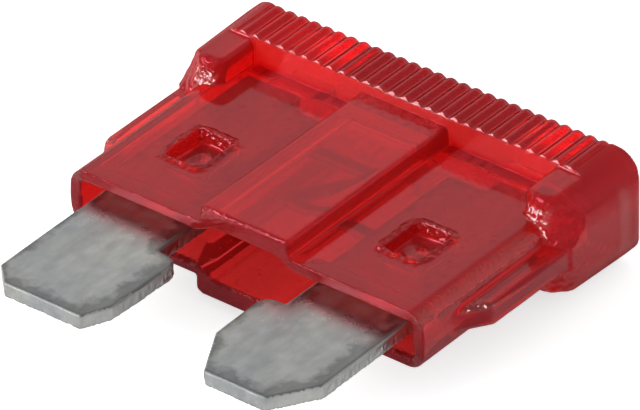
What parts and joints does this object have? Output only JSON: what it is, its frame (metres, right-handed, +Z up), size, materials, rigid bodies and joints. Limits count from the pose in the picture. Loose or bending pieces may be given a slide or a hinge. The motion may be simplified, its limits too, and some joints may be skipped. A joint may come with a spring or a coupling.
{
  "type": "automotive blade fuse",
  "caption": "Standard blade fuse: a translucent red moulded body with a fluted grip, and a zinc fuse element whose flat blades plug into a holder.",
  "frame": {"origin": "under the middle of the fuse as it lies on its broad side, on the plane that its grip rests on", "axes": "+Z up through the thickness, +Y from the blade tips to the grip's end face, +X along the width to the right of +Y"},
  "size_m": [0.019, 0.0186, 0.0051],
  "materials": {
    "red_plastic": "translucent red moulding, smooth gloss with rough fluted and broken-grain edges",
    "zinc": "dull mottled zinc with fine scratches and rough sheared edges"
  },
  "bodies": {
    "root": {"housing": "red_plastic", "fuse_element": "zinc"}
  },
  "joints": []
}
